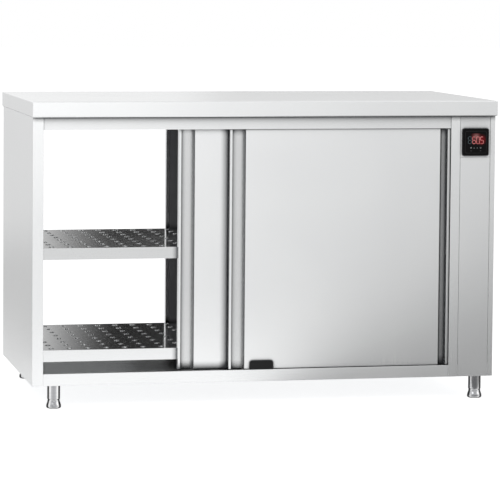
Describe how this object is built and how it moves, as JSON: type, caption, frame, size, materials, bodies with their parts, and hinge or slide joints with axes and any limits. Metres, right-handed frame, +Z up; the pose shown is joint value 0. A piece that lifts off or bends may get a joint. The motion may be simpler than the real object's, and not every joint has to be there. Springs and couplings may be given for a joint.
{
  "type": "plate warmer cabinet",
  "caption": "Pass-through heated cupboard for plates: stainless box on adjustable feet, with sliding doors front and rear, perforated shelves and a control column.",
  "frame": {"origin": "middle of the footprint, on the floor under the feet", "axes": "+X along the worktop towards the control column, +Y from the control side to the rear, +Z up"},
  "size_m": [1.4, 0.7, 0.9],
  "materials": {
    "brushed_stainless": "brushed, fine grain",
    "satin_lining": "satin",
    "galvanised_sheet": "galvanised, dull",
    "zinc_plated_steel": "zinc plated",
    "track_aluminium": "extruded, mill finish",
    "roller_nylon": "moulded nylon",
    "polished_leg_steel": "polished tube",
    "guide_nylon_black": "moulded nylon, black",
    "bumper_rubber": "moulded rubber",
    "mineral_wool": "mineral wool slab",
    "controller_plastic": "moulded, black",
    "controller_glass_black": "polished black front",
    "display_red": "lit digits",
    "terminal_plastic": "moulded",
    "heater_sheath": "heat-tinted sheath",
    "probe_steel": "drawn tube"
  },
  "bodies": {
    "cabinet": {"worktop": "brushed_stainless", "worktop_stiffeners": "galvanised_sheet", "left_side_skin": "brushed_stainless", "left_lining": "satin_lining", "insulation": "mineral_wool", "base_tray": "brushed_stainless", "bottom_panel": "galvanised_sheet", "top_rails": "brushed_stainless", "door_tracks": "track_aluminium", "ceiling_panel": "satin_lining", "partition_post": "brushed_stainless", "partition_lining": "satin_lining", "right_side_skin": "brushed_stainless", "service_panel": "brushed_stainless", "control_panel": "brushed_stainless", "rear_column_cover": "brushed_stainless", "controller_housing": "controller_plastic", "controller_glass": "controller_glass_black", "display_digits": "display_red", "air_duct": "galvanised_sheet", "heating_element": "heater_sheath", "fan_frame": "controller_plastic", "terminal_block": "terminal_plastic", "safety_thermostat": "controller_plastic", "temperature_probe": "probe_steel", "cable_gland": "guide_nylon_black", "shelf_uprights": "satin_lining", "shelf_clips": "satin_lining", "door_guides": "guide_nylon_black", "door_bumpers": "bumper_rubber", "leg_tubes": "polished_leg_steel", "fasteners": "zinc_plated_steel"},
    "front_right_door": {"front_right_door_skin": "brushed_stainless", "front_right_door_back": "satin_lining", "front_right_hangers": "zinc_plated_steel"},
    "front_right_roller_a": {"front_right_roller_a": "roller_nylon"},
    "front_right_roller_b": {"front_right_roller_b": "roller_nylon"},
    "front_left_door": {"front_left_door_skin": "brushed_stainless", "front_left_door_back": "satin_lining", "front_left_hangers": "zinc_plated_steel"},
    "front_left_roller_a": {"front_left_roller_a": "roller_nylon"},
    "front_left_roller_b": {"front_left_roller_b": "roller_nylon"},
    "rear_right_door": {"rear_right_door_skin": "brushed_stainless", "rear_right_door_back": "satin_lining", "rear_right_hangers": "zinc_plated_steel"},
    "rear_right_roller_a": {"rear_right_roller_a": "roller_nylon"},
    "rear_right_roller_b": {"rear_right_roller_b": "roller_nylon"},
    "rear_left_door": {"rear_left_door_skin": "brushed_stainless", "rear_left_door_back": "satin_lining", "rear_left_hangers": "zinc_plated_steel"},
    "rear_left_roller_a": {"rear_left_roller_a": "roller_nylon"},
    "rear_left_roller_b": {"rear_left_roller_b": "roller_nylon"},
    "front_left_foot": {"front_left_foot": "polished_leg_steel"},
    "front_right_foot": {"front_right_foot": "polished_leg_steel"},
    "rear_left_foot": {"rear_left_foot": "polished_leg_steel"},
    "rear_right_foot": {"rear_right_foot": "polished_leg_steel"},
    "mid_shelf": {"mid_shelf": "satin_lining"},
    "lower_shelf": {"lower_shelf": "satin_lining"},
    "fan_impeller": {"fan_impeller": "controller_plastic"}
  },
  "joints": [
    {"name": "front_right_door_slide", "type": "slide", "parent": "cabinet", "child": "front_right_door", "axis": [1, 0, 0], "range_m": [-0.556, 0]},
    {"name": "front_right_roller_a_spin", "type": "hinge", "parent": "front_right_door", "child": "front_right_roller_a", "pos_m": [-0.033, -0.3185, 0.8383], "axis": [0, 1, 0], "continuous": true},
    {"name": "front_right_roller_b_spin", "type": "hinge", "parent": "front_right_door", "child": "front_right_roller_b", "pos_m": [0.484, -0.3185, 0.8383], "axis": [0, 1, 0], "continuous": true},
    {"name": "front_left_door_slide", "type": "slide", "parent": "cabinet", "child": "front_left_door", "axis": [1, 0, 0], "range_m": [-0.4075, 0.1485]},
    {"name": "front_left_roller_a_spin", "type": "hinge", "parent": "front_left_door", "child": "front_left_roller_a", "pos_m": [-0.1815, -0.2965, 0.8383], "axis": [0, 1, 0], "continuous": true},
    {"name": "front_left_roller_b_spin", "type": "hinge", "parent": "front_left_door", "child": "front_left_roller_b", "pos_m": [0.3355, -0.2965, 0.8383], "axis": [0, 1, 0], "continuous": true},
    {"name": "rear_right_door_slide", "type": "slide", "parent": "cabinet", "child": "rear_right_door", "axis": [1, 0, 0], "range_m": [-0.556, 0]},
    {"name": "rear_right_roller_a_spin", "type": "hinge", "parent": "rear_right_door", "child": "rear_right_roller_a", "pos_m": [-0.033, 0.3185, 0.8383], "axis": [0, 1, 0], "continuous": true},
    {"name": "rear_right_roller_b_spin", "type": "hinge", "parent": "rear_right_door", "child": "rear_right_roller_b", "pos_m": [0.484, 0.3185, 0.8383], "axis": [0, 1, 0], "continuous": true},
    {"name": "rear_left_door_slide", "type": "slide", "parent": "cabinet", "child": "rear_left_door", "axis": [1, 0, 0], "range_m": [-0.483, 0.073]},
    {"name": "rear_left_roller_a_spin", "type": "hinge", "parent": "rear_left_door", "child": "rear_left_roller_a", "pos_m": [-0.106, 0.2965, 0.8383], "axis": [0, 1, 0], "continuous": true},
    {"name": "rear_left_roller_b_spin", "type": "hinge", "parent": "rear_left_door", "child": "rear_left_roller_b", "pos_m": [0.411, 0.2965, 0.8383], "axis": [0, 1, 0], "continuous": true},
    {"name": "front_left_foot_screw", "type": "slide", "parent": "cabinet", "child": "front_left_foot", "axis": [0, 0, -1], "range_m": [0, 0.02]},
    {"name": "front_right_foot_screw", "type": "slide", "parent": "cabinet", "child": "front_right_foot", "axis": [0, 0, -1], "range_m": [0, 0.02]},
    {"name": "rear_left_foot_screw", "type": "slide", "parent": "cabinet", "child": "rear_left_foot", "axis": [0, 0, -1], "range_m": [0, 0.02]},
    {"name": "rear_right_foot_screw", "type": "slide", "parent": "cabinet", "child": "rear_right_foot", "axis": [0, 0, -1], "range_m": [0, 0.02]},
    {"name": "mid_shelf_lift", "type": "slide", "parent": "cabinet", "child": "mid_shelf", "axis": [0, 0, 1], "range_m": [0, 0.06]},
    {"name": "lower_shelf_lift", "type": "slide", "parent": "cabinet", "child": "lower_shelf", "axis": [0, 0, 1], "range_m": [0, 0.1]},
    {"name": "fan_spin", "type": "hinge", "parent": "cabinet", "child": "fan_impeller", "pos_m": [0.6376, 0, 0.31], "axis": [0, 0, 1], "continuous": true}
  ],
  "couplings": [
    {"joint": "front_right_roller_a_spin", "follows": "front_right_door_slide", "rad_per_m": 125},
    {"joint": "front_right_roller_b_spin", "follows": "front_right_door_slide", "rad_per_m": 125},
    {"joint": "front_left_roller_a_spin", "follows": "front_left_door_slide", "rad_per_m": 125},
    {"joint": "front_left_roller_b_spin", "follows": "front_left_door_slide", "rad_per_m": 125},
    {"joint": "rear_right_roller_a_spin", "follows": "rear_right_door_slide", "rad_per_m": 125},
    {"joint": "rear_right_roller_b_spin", "follows": "rear_right_door_slide", "rad_per_m": 125},
    {"joint": "rear_left_roller_a_spin", "follows": "rear_left_door_slide", "rad_per_m": 125},
    {"joint": "rear_left_roller_b_spin", "follows": "rear_left_door_slide", "rad_per_m": 125}
  ]
}
